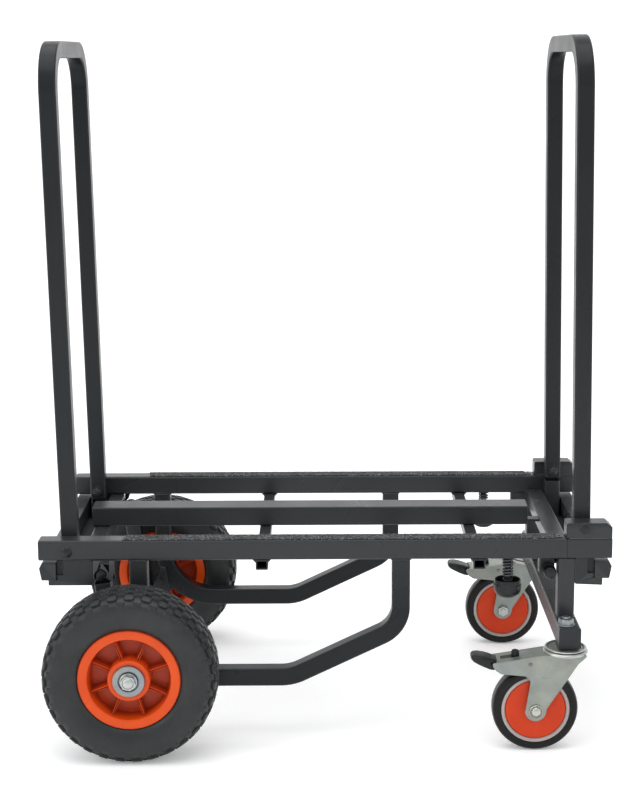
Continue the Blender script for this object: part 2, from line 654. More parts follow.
# ============================================================ end tubes
def end_tube(name, sign, pivot_x, socket_top, inner_x, body):
    """Tube across one end of the deck, with its floor, web, handle sockets and notches."""
    section = rounded([(sign * 394.0, 250.2, 1.5), (sign * 415.6, 250.2, 2.0),
                       (sign * 418.9, 268.4, 1.6), (sign * 415.4, 275.4, 1.6),
                       (sign * 394.0, 275.4, 1.5)], 3)
    place(name, side_plate(section, -204.8, 204.8, 1.0, 3), body=body, replaces=name)
    outer_x = sign * 406.0
    place(name + "_floor", block(sorted((inner_x, outer_x)), (-179.4, 179.4), (241.9, 245.2),
                                 0.8), PAINT_INNER, body)
    place(name + "_web", block(sorted((sign * 396.6, outer_x)), (-179.2, 179.2),
                               (244.6, 250.8), 0.8), PAINT_INNER, body)
    socket_y = -160
    place_pair(name + "_socket",
               tube([(pivot_x, socket_y, 244.8), (pivot_x, socket_y, socket_top)], Y_AXIS,
                    half=(12.5, 12.5), corner=3.0, shut_start=True), body=body)
    welds = [((pivot_x - 10.5, y, 245.6), (pivot_x + 10.5, y, 245.6), 1.3)
             for y in (socket_y + 13.0, socket_y - 13.0)]
    place_pair(name + "_weld", beads(*welds), WELD, body)
    # the notch beside the tube is closed by a set back web
    x0, x1 = sorted((sign * 383.0, sign * 393.7))
    notch = rounded([(x0, 280.6, 0.4), (x0, 250.9, 0.4), (x1, 250.9, 0.4), (x1, 280.6, 0.4)], 2)
    place_pair(name + "_notch", side_plate(notch, -198.4, -184.0, 0.3, 1), PAINT_INNER, body)


end_tube("end_tube_rear", -1, REAR_PIVOT[0], 274.0, -343.2, REAR)
end_tube("end_tube_front", 1, FRONT_PIVOT[0], 307.2, 366.8, FRONT)

# ============================================================ cross tubes under the deck
for name, tube_x in (("cross_tube_rear", -93.4), ("cross_tube_front", 225.0)):
    place(name, tube([(tube_x, -203.5, 272.1), (tube_x, 203.5, 272.1)], X_AXIS, half=(9, 7.5),
                     corner=1.9, wall=1.9), replaces=name)
    place(name + "_bore", tube([(tube_x, -201.0, 272.1), (tube_x, 201.0, 272.1)], X_AXIS,
                               half=(7.0, 5.5), corner=0.8, wall=0.3), PAINT_INNER)
    joints = []
    for side in (-1, 1):
        # folded gusset where each side of the tube meets the rail
        gusset = [(tube_x + side * 9.1, 279.8), (tube_x + side * 13.2, 279.8),
                  (tube_x + side * 9.1, 275.4)]
        joints.append(side_plate(gusset, -203.0, -177.0, 0.3, 1))
        bead_x = tube_x + side * 9.6
        joints.append(bead((bead_x, -202.5, 279.2), (bead_x, -177.5, 279.2), 1.3))
    place_pair(name + "_weld", join(*joints), WELD)

# ============================================================ hoop under each rail
hoop_path = fillet_path([(x, NEAR_Y, z) for x, z in HOOP_PATH], HOOP_BENDS, 18)
place_pair("hoop", tube(hoop_path, Y_AXIS, half=(HOOP_HALF, HOOP_HALF), corner=3.2),
           PAINT_TUBE, replaces="hoop")
welds = []
for x in (HOOP_PATH[0][0], HOOP_PATH[-1][0]):
    for side in (-1, 1):
        bead_x, bead_y = x + side * 13.6, NEAR_Y + side * 13.5
        welds += [((bead_x, NEAR_Y - 11.5, 279.4), (bead_x, NEAR_Y + 11.5, 279.4), 1.5),
                  ((x - 11.5, bead_y, 279.4), (x + 11.5, bead_y, 279.4), 1.3)]
place_pair("hoop_weld", beads(*welds), WELD)

# ============================================================ front cross bar and its fittings
place("front_cross_bar", tube([(351.8, -174.6, 275.0), (351.8, 174.6, 275.0)], X_AXIS,
                              half=(14.2, 11.0), corner=2.6, steps=5),
      replaces="front_cross_bar")
place_pair("front_cross_bar_weld",
           beads(((338.0, -174.7, 265.5), (338.0, -174.7, 284.0), 1.2),
                 ((339.5, -175.0, 279.6), (351.5, -175.0, 279.6), 1.2)), WELD)
place("rack_lip", block((338.2, 341.4), (-173.8, 173.8), (285.5, 286.5), 0.35))
RACK_BOLT = [(0, 0.576), (2.4, 0.56), (4.4, 0.448), (5.6, 0.256), (6.1, 0.08), (7.6, 0.048),
             (7.8, -0.4), (0, -0.4)]           # radius, height
for tag, y in (("a", 105.0), ("b", 163.0)):
    place("rack_bolt_" + tag, lathe(RACK_BOLT, (352.5, y, 286.0), 'Z', 40), BOLT)
# drilled tab on top of the rail's front end
place_pair("rail_tab", subtract(block((337.8, 346.8), (-198.0, -183.0), (309.6, 311.5), 0.5),
                                cylinder((342.6, -190.4, 0), 'Z', 2.3, 308, 313, 28)),
           PAINT_BRACKET)


# ============================================================ grip tape
def grit(x0, x1, y0, y1, z, step=1.05, height=0.42, skew=3.0, skew_length=40.0):
    """Strip with a rough grit surface; its x0 end is cut slightly askew."""
    nx, ny = int((x1 - x0) / step), int((y1 - y0) / step)
    noise = np.random.RandomState(11)
    heights = noise.rand(nx + 1, ny + 1) ** 1.6 * height
    verts, faces = [], []
    for i in range(nx + 1):
        for j in range(ny + 1):
            x = x0 + (x1 - x0) * i / nx
            y = y0 + (y1 - y0) * j / ny
            x += skew * max(0.0, 1 - (x - x0) / skew_length) * j / ny
            if min(i, nx - i, j, ny - j) == 0:
                verts.append((x, y, z))
            else:
                verts.append((x + noise.uniform(-0.3, 0.3), y + noise.uniform(-0.3, 0.3),
                              z + 0.25 + heights[i, j]))
    row = ny + 1
    for i in range(nx):
        for j in range(ny):
            a = i * row + j
            faces.append((a, a + row, a + row + 1, a + 1))
    # edge and underside, so that the strip is a closed body
    start = len(verts)
    rim = [i * row for i in range(nx + 1)] + [nx * row + j for j in range(1, row)]
    rim += [i * row + ny for i in range(nx - 1, -1, -1)] + list(range(ny - 1, 0, -1))
    verts += [(verts[k][0], verts[k][1], z - 0.75) for k in rim]
    for k in range(len(rim)):
        j = (k + 1) % len(rim)
        faces.append((rim[k], start + k, start + j, rim[j]))
    faces.append(tuple(range(start, start + len(rim))))
    return verts, faces


TAPE_INSET = 1.8
place_pair("grip_strip", grit(-297.0, 337.0, -DECK_HALF + TAPE_INSET,
                              -DECK_HALF + RAIL - TAPE_INSET, 311.0),
           TAPE, replaces="grip_strip", sharp=25)

# ============================================================ rear bracket and axle plates
# Outlines are (x, z, corner radius) rows.
BRACKET = [(-384, 280.2, 0), (-384, 257.6, 0.8), (-392.6, 257.6, 1.2), (-392.6, 250.6, 0.8),
           (-406, 250.6, 0.8), (-406, 241.8, 1.6), (-340.6, 241.8, 1.6), (-340.6, 280.2, 0)]
place_pair("bracket_rear", side_plate(rounded(BRACKET, 3), -202.0, -180.0, 1.1, 3),
           replaces="bracket_rear")
leg_path = [(-327.6, NEAR_Y, 244.0), (-314.0, NEAR_Y, 141.0), (-306.0, NEAR_Y, 108.0)]
place_pair("bracket_rear_leg", tube(leg_path, Y_AXIS, half=(12.0, 12.0), corner=3.0),
           replaces="axle_strut")


def axle_cheek():
    """Outer plate round the axle, its edge following the hoop's first bend."""
    bend = HOOP_BENDS[0]
    centre_x, centre_z = HOOP_PATH[1][0] + bend, HOOP_PATH[1][1] + bend
    reach = bend + HOOP_HALF + 1.4
    rows = [(-319.5, 190, 6), (-325.0, 124, 8), (-314.5, 105.5, 8), (-297, 97.8, 8),
            (-271, 100.2, 2)]
    rows += [(centre_x + reach * cos(radians(angle)), centre_z + reach * sin(radians(angle)), 0)
             for angle in range(229, 182, -3)]
    rows += [(-288.8, 186, 2), (-297, 196, 6)]
    return subtract(side_plate(rounded(rows, 4), -205.8, -202.3, 0.6, 3),
                    cylinder(AXLE, 'Y', 8.3, -220, -190, 48))


place_pair("axle_cheek", axle_cheek())
AXLE_PLATE = [(-279, 152, 2), (-270.5, 152, 2), (-264, 116, 6), (-262, 104, 3), (-292, 104, 3),
              (-290, 116, 6)]
place_pair("axle_plate", side_plate(rounded(AXLE_PLATE, 4), -176.4, -171.6, 0.7, 3))

# cheek beside the rear knob: rear strip, front strip and brace, cut away round the knob
knob_centre = (REAR_KNOB[0], 0, REAR_KNOB[1])
CHEEK = [  # outline, outer y, inner y
    ([(-340, 280.4, 0), (-329, 280.4, 0), (-333, 268, 3), (-337.6, 253, 1), (-340, 253, 1)],
     -205.6, -202.8),
    ([(-316.3, 280.4, 0), (-308.8, 280.4, 0), (-309.5, 262, 3), (-312.5, 250, 1),
      (-316.3, 250, 1)], -205.6, -202.8),
    ([(-330, 275, 1), (-326, 275, 1), (-314, 256, 2), (-316, 250, 1), (-319, 252, 1)],
     -204.6, -202.6)]
knob_hole = cylinder(knob_centre, 'Y', 9.9, -216, -195, 64)
cheek = [subtract(side_plate(rounded(rows, 3), y0, y1, 0.5), knob_hole)
         for rows, y0, y1 in CHEEK]
place("knob_cheek_near", join(*cheek), PAINT_BRACKET)
place("knob_cheek_far", mirrored(cheek[0]), PAINT_BRACKET)
KNOB_PLATE = [(-341, 268, 1), (-341, 244, 3), (-310.5, 244, 3), (-312.5, 268, 2)]
place_pair("knob_plate", subtract(side_plate(rounded(KNOB_PLATE, 3), -182.0, -178.2),
                                  cylinder(knob_centre, 'Y', 3.6, -190, -170, 32)))
place_pair("bracket_rear_weld",
           beads(((-383, -202.0, 280.0), (-341, -202.0, 280.0), 1.4),
                 ((-383, -180.0, 280.0), (-341, -180.0, 280.0), 1.2),
                 ((-340.4, -200.5, 243.5), (-340.4, -200.5, 267), 1.3),
                 ((-393.4, -201.0, 252), (-393.4, -201.0, 257.2), 1.0),
                 ((-279, -176.8, 151.8), (-271, -176.8, 151.8), 1.2),
                 ((-289, -176.6, 104.2), (-264, -176.6, 104.0), 1.3)), WELD)


# ============================================================ bolts, knobs, plungers
# Lathe profiles are (radius, distance along the axis) from the given centre.
def pivot_bolt(x, z):
    centre = (x, -DECK_HALF, z)
    head = lathe([(0, -3.4), (2.6, -3.35), (5.0, -2.9), (6.8, -2.1), (7.9, -1.2), (8.3, -0.6),
                  (8.3, -0.2), (4.0, -0.2), (4.0, 58.4), (0, 58.4)], centre, 'Y', 64)
    nut = hexagon(centre, 'Y', flats=13.0, start=58.8, end=65.2, bore=4.0, chamfer=1.0,
                  both_ends=True)
    collar = lathe([(4.1, 65.2), (6.1, 65.2), (6.1, 67.2), (5.2, 68.4), (4.1, 68.4)],
                   centre, 'Y', 36, closed=True)
    washer = lathe([(4.2, 57.2), (8.6, 57.2), (8.8, 57.5), (8.8, 58.5), (8.6, 58.8),
                    (4.2, 58.8)], centre, 'Y', 36, closed=True)
    spacer = lathe([(4.2, 30.6), (7.0, 30.6), (7.0, 32.1), (4.2, 32.1)], centre, 'Y', 36,
                   closed=True)
    tip = lathe([(0, 70.4), (3.2, 70.3), (3.9, 69.6), (3.9, 62.0), (0, 62.0)], centre, 'Y', 24)
    return join(head, nut, collar, washer, spacer, tip)


def lock_knob(x, z):
    def ribs(angle, radius, offset):
        return radius - (0.55 * max(0.0, cos(14 * angle)) if radius > 9.0 else 0.0)

    profile = [(0, -14.2), (3.4, -14.1), (6.2, -13.6), (7.4, -12.9), (8.4, -11.6), (9.2, -9.6),
               (9.5, -5.0), (9.5, -0.5), (8.8, 1.2), (7.0, 2.2), (5.8, 2.8), (5.6, 3.6),
               (5.6, 6.8), (4.8, 7.4), (3.0, 7.4), (3.0, 15.2), (2.2, 17.0), (0, 17.4)]
    return lathe(profile, (x, NEAR_Y, z), 'Y', 112, reshape=ribs)


for name, pivot, body in (("pivot_bolt_rear", REAR_PIVOT, REAR),
                          ("pivot_bolt_front", FRONT_PIVOT, FRONT)):
    place_pair(name, pivot_bolt(*pivot), PAINT, body, replaces=name)
for end, knob in (("rear", REAR_KNOB), ("front", FRONT_KNOB)):
    place_pair("lock_knob_" + end, lock_knob(*knob), PLASTIC, "lock_" + end,
               replaces="lock_knob_" + end)
COLLAR = [(6.2, -2.4), (9.0, -2.4), (9.6, -1.8), (9.6, 0.0), (6.2, 0.0)]
place_pair("lock_collar_front",
           lathe(COLLAR, (FRONT_KNOB[0], -182.2, FRONT_KNOB[1]), 'Y', 48, closed=True),
           ZINC_DARK)
LOCK_TAB = [(315, 281, 0), (315, 252, 5), (320, 246.5, 4), (334, 246.5, 4), (338, 252, 5),
            (338, 281, 0)]
place_pair("lock_tab_front", side_plate(rounded(LOCK_TAB, 4), -182.0, -178.0, 0.5))
TAB_SIDE = [(-182, 281, 0), (-182, 252, 2), (-194, 262, 5), (-198, 281, 0)]    # y, z, radius
place_pair("lock_tab_side", slab(rounded(TAB_SIDE, 3), (313.2, 0, 0), Y_AXIS, Z_AXIS, X_AXIS,
                                 0.0, 2.4, 0.4), BOLT)


def plunger_cup():
    """Cup with a fluted rim and a central stem."""
    def flutes(angle, radius, height):
        return radius + (0.35 * cos(24 * angle) if radius > 19.0 and 228 < height < 243 else 0.0)

    profile = [(0, 217.8), (6.0, 217.9), (11.0, 219.0), (15.5, 221.6), (18.4, 225.6),
               (19.8, 230.5), (20.2, 236.0), (20.4, 238.6), (19.6, 239.4), (19.6, 243.8),
               (19.2, 245.2), (18.4, 245.8), (17.6, 245.2), (17.2, 243.0), (16.8, 234.0),
               (14.0, 230.4), (8.6, 229.6), (8.2, 231.0), (8.0, 244.4), (7.2, 246.0),
               (5.2, 246.8), (5.0, 260.0), (4.8, 281.0), (3.8, 281.8), (0, 282.0)]
    return lathe(profile, PLUNGER, 'Z', 80, reshape=flutes)


def plunger_spring(turns=6.2, steps_per_turn=28, coil_radius=7.2, bottom=248.6, top=278.0):
    """Coil whose pitch varies a little between its eased ends."""
    steps = turns * steps_per_turn
    path = []
    for i in range(int(steps) + 1):
        t = i / steps
        ease = 0.25 * (1 - cos(pi * min(1, t / 0.12))) * (1 - cos(pi * min(1, (1 - t) / 0.12)))
        angle = 2 * pi * turns * t
        path.append((PLUNGER[0] + coil_radius * cos(angle), PLUNGER[1] + coil_radius * sin(angle),
                     bottom + (top - bottom) * (t + 0.012 * sin(4 * pi * t) * ease)))
    return rod(path, 1.3)


place_pair("plunger", plunger_cup(), PLASTIC, "plunger", replaces="plunger")
place_pair("plunger_spring", plunger_spring(), STEEL, "plunger",
           replaces="plunger_spring", sharp=60)
SEAT = [(4.6, 278.4), (9.6, 278.4), (10.4, 279.0), (10.4, 280.2), (4.6, 280.2)]
place_pair("plunger_seat", lathe(SEAT, PLUNGER, 'Z', 48, closed=True), BOLT)

# ============================================================ rear axle
AXLE_END = [(0, -299.0), (7.0, -299.0), (8.0, -298.0), (8.0, -221.9), (12.0, -221.8),
            (12.8, -221.0), (12.8, -206.6), (12.2, -206.0), (8.0, -205.9), (8.0, -202.0),
            (0, -202.0)]
place("rear_axle", join(lathe(AXLE_END, AXLE, 'Y', 48),
                        lathe([(radius, -y) for radius, y in AXLE_END], AXLE, 'Y', 48)),
      ZINC, replaces="rear_axle")
AXLE_BAR = both_sides([(0, -202.2), (7.6, -202.2), (8.0, -201.8)])
place("rear_axle_bar", lathe(AXLE_BAR, AXLE, 'Y', 48))
FLANGE = [(12.9, -221.4), (22.4, -221.4), (23.0, -220.8), (23.0, -218.8), (22.4, -218.2),
          (16.0, -217.8), (12.9, -216.4)]
place_pair("axle_flange", lathe(FLANGE, AXLE, 'Y', 64, closed=True), ZINC)

# ============================================================ rear wheels
# near half of the tyre's section, bead to crown: radius, y
TYRE_HALF = [(73.4, -27.0), (76.0, -30.5), (80.0, -33.6), (86.0, -36.4), (94.0, -38.3),
             (102.0, -39.0), (109.0, -38.7), (114.5, -37.5), (119.5, -35.0), (123.6, -30.5),
             (126.1, -23.0), (127.1, -11.0), (127.3, 0.0)]
# rows of crown blocks: distance from the crown, phase in pitches, half width, half length
CROWN_ROWS = [(0.0, 0.0, 4.2, 6.9), (9.4, 0.5, 4.2, 6.9), (-9.4, 0.5, 4.2, 6.9),
              (18.9, 0.0, 4.3, 6.9), (-18.9, 0.0, 4.3, 6.9), (29.2, 0.5, 5.1, 7.2),
              (-29.2, 0.5, 5.1, 7.2)]
# rings round the wall: distance from the crown, half width, softness, height
WALL_RINGS = [(50.6, 0.8, 1.2, 0.45), (81.5, 1.3, 1.3, 0.8), (72.0, 0.7, 1.0, 0.4)]
CROWN_DEPTH = 3.5


def tyre(around=864, pitches=31):
    """Tyre: smooth wall, rings, shoulder lugs and staggered crown blocks, all as relief."""
    outline = np.array(TYRE_HALF + [(radius, -y) for radius, y in reversed(TYRE_HALF[:-1])])
    lengths = np.hypot(np.diff(outline[:, 0]), np.diff(outline[:, 1]))
    run = np.concatenate([[0], np.cumsum(lengths)])
    middle = run[-1] / 2
    # finest steps over the tread, coarsest on the wall
    stations = [0.0]
    while stations[-1] < run[-1]:
        away = abs(stations[-1] - middle)
        stations.append(stations[-1] + (0.9 if away < 57 else 1.4 if away > 76 else 2.2))
    stations = np.array(stations)
    stations *= run[-1] / stations[-1]
    radius = np.interp(stations, run, outline[:, 0])
    width = np.interp(stations, run, outline[:, 1])
    for values in (radius, width):
        for _ in range(3):
            values[1:-1] = (values[:-2] + 2 * values[1:-1] + values[2:]) / 4
    radius_slope, width_slope = np.gradient(radius), np.gradient(width)
    slope = np.hypot(radius_slope, width_slope)
    normal_radius, normal_width = width_slope / slope, -radius_slope / slope
    angle = np.arange(around) * 2 * pi / around
    across = (stations - middle)[:, None]
    turn = (angle * pitches / (2 * pi))[None, :] - 0.12
    pitch = 2 * pi * 125 / pitches

    def band(distance, half, soft):
        """1 within half of the middle, falling to 0 over the soft width."""
        return np.clip((half - np.abs(distance)) / soft + 0.5, 0, 1)

    def smooth(x):
        return x * x * (3 - 2 * x)

    relief = np.zeros((len(stations), around))
    for centre, phase, half_width, half_length in CROWN_ROWS:
        along = ((turn + phase) % 1.0 - 0.5) * pitch
        sides = band(across - centre, half_width, 1.1)
        ends = band(along, half_length, 1.1)
        cropped = band(np.abs(across - centre) + np.abs(along) * 0.8,
                       half_width + half_length * 0.8 - 2.3, 1.2)
        shape = smooth(np.minimum(np.minimum(sides, ends), cropped))
        relief = np.maximum(relief, shape * CROWN_DEPTH)
    for sign in (-1, 1):
        out = across * sign
        # shoulder lugs, each with a fine sipe down its middle
        along = (turn % 1.0 - 0.5) * pitch * 0.91
        lug = smooth(np.minimum(band(out - 43.4, 4.9, 1.4), band(along, 4.9, 1.2))) * 2.4
        lug -= 0.5 * smooth(np.minimum(band(along, 0.7, 0.9), band(out - 45.0, 3.0, 1.0)))
        relief = np.maximum(relief, lug)
        # small raised marks on the wall between the lugs
        along = ((turn + 0.5) % 1.0 - 0.5) * pitch * 0.84
        mark = smooth(np.minimum(band(out - 54.0, 1.9, 1.0), band(along, 1.9, 1.0)))
        relief = np.maximum(relief, mark * 0.7)
        for distance, half, soft, height in WALL_RINGS:
            relief += height * smooth(band(out - distance, half, soft))
    # sink the tread's ground, so that the block tops keep the outline
    ground = -CROWN_DEPTH * (1 - smooth(np.clip((np.abs(across) - 33.0) / 17.0, 0, 1)))
    relief = np.minimum(relief, -ground + 0.05) + ground
    reach = radius[:, None] + normal_radius[:, None] * relief
    y = width[:, None] + normal_width[:, None] * relief
    points = np.stack([WHEEL[0] + reach * np.sin(angle)[None, :], WHEEL[1] + y,
                       WHEEL[2] + reach * np.cos(angle)[None, :]], -1)
    verts, rings = stack(points.tolist())
    return verts, bridge(rings + rings[:1])


place_pair("tyre_rear", tyre(), RUBBER, "rear_wheel", "tyre_rear", sharp=48)

RIM_HALF = [(8.6, -32.6), (28.6, -32.6), (30.0, -32.0), (30.6, -30.8), (31.4, -6.6),
            (32.6, -5.4), (55.0, -4.8), (56.6, -6.0), (59.6, -27.6), (60.5, -29.4),
            (62.2, -30.4), (71.0, -31.0), (73.0, -30.6), (74.2, -29.2), (74.6, -27.4),
            (73.2, -26.6)]
# half of a rib's section: y, share of its half thickness
RIB_SECTION = [(-3.0, 1.25), (-23.2, 0.92), (-24.6, 0.75), (-25.2, 0.35)]
# along a rib: distance from the axle, half thickness, dip of its edges
RIB_STATIONS = [(28.0, 2.4, 0.0), (44.0, 1.9, 0.9), (61.4, 1.7, 0.0)]


def rim_rib(angle):
    """Tapered rib from hub to rim, through the web."""
    outward = Vector((sin(angle), 0, cos(angle)))
    sideways = Vector((cos(angle), 0, -sin(angle)))
    sections = []
    for reach, thickness, dip in RIB_STATIONS:
        half = [(y + (dip if y < -20 else 0), thickness * share) for y, share in RIB_SECTION]
        half += [(-y, w) for y, w in reversed(half)]
        ring = half + [(y, -w) for y, w in reversed(half)]
        sections.append([Vector(WHEEL) + outward * reach + sideways * w + Vector((0, y, 0))
                         for y, w in ring])
    verts, rings = stack(sections)
    return verts, bridge(rings) + [rings[0], rings[-1][::-1]]


ribs = join(*[rim_rib(radians(25.0 + 45 * k)) for k in range(8)])
place_pair("rim_rear", unite(lathe(both_sides(RIM_HALF), WHEEL, 'Y', 128, closed=True), ribs),
           ORANGE, "rear_wheel", "rim_rear", sharp=30)
HUB_WASHER = [(14.6, -33.9), (15.2, -36.2), (16.0, -36.6), (21.6, -36.6), (22.8, -36.0),
              (23.2, -35.0), (23.2, -33.0), (8.6, -33.0), (8.6, -33.9)]
place_pair("hub_washer", lathe(HUB_WASHER, WHEEL, 'Y', 96, closed=True), ZINC_WASHER,
           "rear_wheel", replaces="hub_washer")
HUB_BEARING = [(8.8, -34.0), (9.6, -34.4), (11.4, -34.5), (12.2, -34.2), (13.6, -34.6),
               (14.2, -34.2), (14.2, -33.95), (8.8, -33.95)]
place_pair("hub_bearing", lathe(HUB_BEARING, WHEEL, 'Y', 64, closed=True), ZINC_DARK,
           "rear_wheel")
axle_nut = join(hexagon(WHEEL, 'Y', flats=20.0, start=-36.9, end=-44.6, bore=8.2, chamfer=1.8,
                        turn=0.3),
                lathe([(8.2, -35.0), (12.4, -35.0), (12.6, -35.4), (12.6, -36.6),
                       (12.2, -36.9), (8.2, -36.9)], WHEEL, 'Y', 48, closed=True),
                lathe([(0, -47.3), (3.6, -47.1), (6.0, -46.3), (7.4, -45.2), (7.9, -44.3),
                       (7.9, -44.25), (0, -44.25)], WHEEL, 'Y', 48))
place_pair("axle_nut", axle_nut, ZINC, replaces="axle_nut")
VALVE = [(0, 0.0), (3.6, 0.0), (3.6, 4.0), (2.9, 6.0), (2.9, 11.0), (3.3, 11.4), (3.3, 17.0),
         (2.8, 18.2), (0, 18.4)]
VALVE_REACH, VALVE_ANGLE = 64.5, radians(-45)
valve_place = (WHEEL[0] + VALVE_REACH * sin(VALVE_ANGLE), WHEEL[1] + 27.0,
               WHEEL[2] + VALVE_REACH * cos(VALVE_ANGLE))
place_pair("valve", lathe(VALVE, valve_place, 'Y', 24), PLASTIC, "rear_wheel")

# ============================================================ front frame
place_pair("rail_inner", tube([(-80, NEAR_Y, RAIL_Z), (FRONT_X, NEAR_Y, RAIL_Z)], Y_AXIS,
                              half=(12.6, 12.6), corner=2.2, shut_end=True),
           body=FRONT, replaces="rail_inner")
UPPER_BLOCK = [(351.5, 310.9, 1.5), (351.5, 333.5, 3.0), (411.0, 333.5, 4.0),
               (418.7, 327.0, 3.0), (418.7, 310.9, 1.5)]
place_pair("upper_block", side_plate(rounded(UPPER_BLOCK, 4), -204.8, -175.2, 2.0, 4),
           body=FRONT, replaces="upper_block")
place_pair("upper_block_skirt",
           slab(rounded_rect(RAIL / 2, RAIL / 2, 3.2, 5), (0, NEAR_Y, 295.3), Y_AXIS, Z_AXIS,
                X_AXIS, 353.35, 418.9, 0.35), body=FRONT)
place_pair("upper_block_weld", beads(*[((355.5, y, 310.7), (416.0, y, 310.7), 1.2)
                                       for y in (-204.0, -176.0)]), PAINT_BRACKET, FRONT)

WELD_Z = BEAM_TOP + 0.6
place_pair("front_post", tube([(POST_X, NEAR_Y, 279.5), (POST_X, NEAR_Y, BEAM_TOP + 0.3)],
                              Y_AXIS, half=(12.5, 12.5), corner=2.8),
           body=FRONT, replaces="front_bracket")
FRONT_BRACKET = [(365.8, 281.4, 0), (365.8, 240.8, 1.6), (406.0, 239.0, 1.6),
                 (406.0, 250.6, 0.8), (392.6, 250.6, 0.8), (392.6, 257.6, 1.2),
                 (384, 257.6, 0.8), (384, 281.4, 0)]
place_pair("front_bracket_base", side_plate(rounded(FRONT_BRACKET, 3), -202.0, -180.0, 1.1, 3),
           body=FRONT)
place_pair("front_post_weld",
           beads(((POST_X - 11.5, NEAR_Y - 12.6, WELD_Z), (POST_X + 11.5, NEAR_Y - 12.6, WELD_Z),
                  1.6),
                 *[((x, NEAR_Y - 11.5, WELD_Z), (x, NEAR_Y + 11.5, WELD_Z), 1.6)
                   for x in (POST_X - 12.7, POST_X + 12.7)],
                 ((POST_X + 12.8, NEAR_Y - 10.5, 243.5), (POST_X + 12.8, NEAR_Y - 10.5, 279),
                  1.2),
                 ((393.4, -201.0, 252.0), (393.4, -201.0, 257.2), 1.0)), WELD, FRONT)
beam_z = BEAM_TOP - BEAM / 2
place("caster_beam", tube([(BEAM_X, -245, beam_z), (BEAM_X, 245, beam_z)], X_AXIS,
                          half=(BEAM / 2, BEAM / 2), corner=3.0, wall=2.2, shut_start=True,
                          shut_end=True, steps=5), PAINT_TUBE, FRONT, replaces="caster_beam")

# ============================================================ caster nut and swivel race
SWIVEL_Z = BEAM_BOTTOM - 2.7
on_beam = (CASTER_X, CASTER_Y, BEAM_TOP)
under_beam = (CASTER_X, CASTER_Y, BEAM_BOTTOM)
on_swivel = (CASTER_X, CASTER_Y, SWIVEL_Z)


def toothed(angle, radius, height):
    return radius + (0.25 * cos(30 * angle) if radius > 12.0 else 0.0)


caster_nut = join(hexagon(on_beam, 'Z', flats=20.0, start=2.4, end=10.2, bore=6.0,
                          chamfer=1.5, turn=0.2),
                  lathe([(6.0, 0.3), (12.2, 0.3), (12.9, 0.7), (12.8, 1.6), (10.4, 2.8),
                         (6.0, 2.8)], on_beam, 'Z', 96, closed=True, reshape=toothed),
                  lathe([(0, 12.4), (4.6, 12.3), (5.6, 11.4), (5.6, 10.9), (5.2, 10.6),
                         (5.6, 10.3), (5.6, 8.0), (0, 8.0)], on_beam, 'Z', 36))
place_pair("caster_nut", caster_nut, ZINC_WASHER, FRONT, replaces="caster_stem")
RACE_TOP = [(6.0, -1.7), (25.2, -1.7), (26.2, -1.2), (26.9, -0.35), (28.2, -0.2), (29.6, -0.5),
            (30.6, -1.2), (30.7, -1.8), (30.2, -2.3), (6.0, -2.3)]
place_pair("caster_race_top", lathe(RACE_TOP, under_beam, 'Z', 96, closed=True), ZINC, FRONT)
RACE_SEAL = [(6.0, -2.4), (28.2, -2.4), (28.6, -2.6), (28.6, -3.4), (28.2, -3.6), (6.0, -3.6)]
place_pair("caster_race_seal", lathe(RACE_SEAL, under_beam, 'Z', 64, closed=True), PLASTIC,
           "caster_swivel")
RACE_CUP = [(6.0, -0.8), (28.4, -0.8), (30.6, -1.2), (32.2, -2.4), (32.8, -3.8), (32.2, -5.4),
            (30.2, -6.6), (27.0, -7.2), (6.0, -7.2)]
place_pair("caster_race_cup", lathe(RACE_CUP, on_swivel, 'Z', 96, closed=True), ZINC,
           "caster_swivel")
KINGPIN = [(0, -16.0), (5.0, -15.8), (8.0, -14.4), (9.0, -12.0), (9.0, -10.8), (0, -10.8)]
place_pair("caster_kingpin", lathe(KINGPIN, on_swivel, 'Z', 36), ZINC_DARK, "caster_swivel")


# ============================================================ caster fork
def fork_sides():
    """Two side plates, each with an arm ending in a round foot at the wheel's axle."""
    rows = [(241.5, 135.5, 2), (242.5, 131.0, 3), (247.0, 124.5, 4), (254.5, 119.5, 6),
            (290.0, 116.2, 5), (297.6, 109.0, 6), (290.6, 64.0, 2)]
    rows += [(305.6 + 15.6 * cos(radians(angle)), 63.0 + 15.6 * sin(radians(angle)), 0)
             for angle in range(186, 352, 9)]
    rows += [(322.0, 66.5, 4), (352.5, 112.5, 14), (366.0, 133.5, 8), (378.5, 145.4, 2),
             (378.5, 147.6, 1), (324.0, 147.6, 6), (316.0, 146.6, 8)]
    outline = rounded(rows)
    return join(*[side_plate(outline, *sorted((CASTER_Y + side * 18.0, CASTER_Y + side * 21.2)),
                             0.7, 3) for side in (-1, 1)])


def fork_top():
    """Top plate rising towards the front, with a slot through it."""
    low_x, low_z, high_x, high_z = 242.5, 135.2, 318.0, 147.2
    length = hypot(high_x - low_x, high_z - low_z)
    slope = atan2(high_z - low_z, high_x - low_x)
    frame_axes = ((low_x, CASTER_Y, low_z), (cos(slope), 0, sin(slope)), Y_AXIS,
                  (-sin(slope), 0, cos(slope)))
    # distance up the slope, y from the caster's middle, corner radius
    plan = [(0, -20.6, 1), (0, -17.6, 1), (6.5, -16.4, 3), (6.5, 16.4, 3), (0, 17.6, 1),
            (0, 20.6, 1), (length, 20.6, 4), (length + 8, 17.0, 4), (length + 8, -17.0, 4),
            (length, -20.6, 4)]
    slot = [(12.0, -6.6, 3.0), (40.5, -6.6, 3.0), (40.5, 6.6, 3.0), (12.0, 6.6, 3.0)]
    return subtract(slab(rounded(plan, 4), *frame_axes, -2.6, 0.4, 0.7, 3),
                    slab(rounded(slot), *frame_axes, -6, 6, 0))


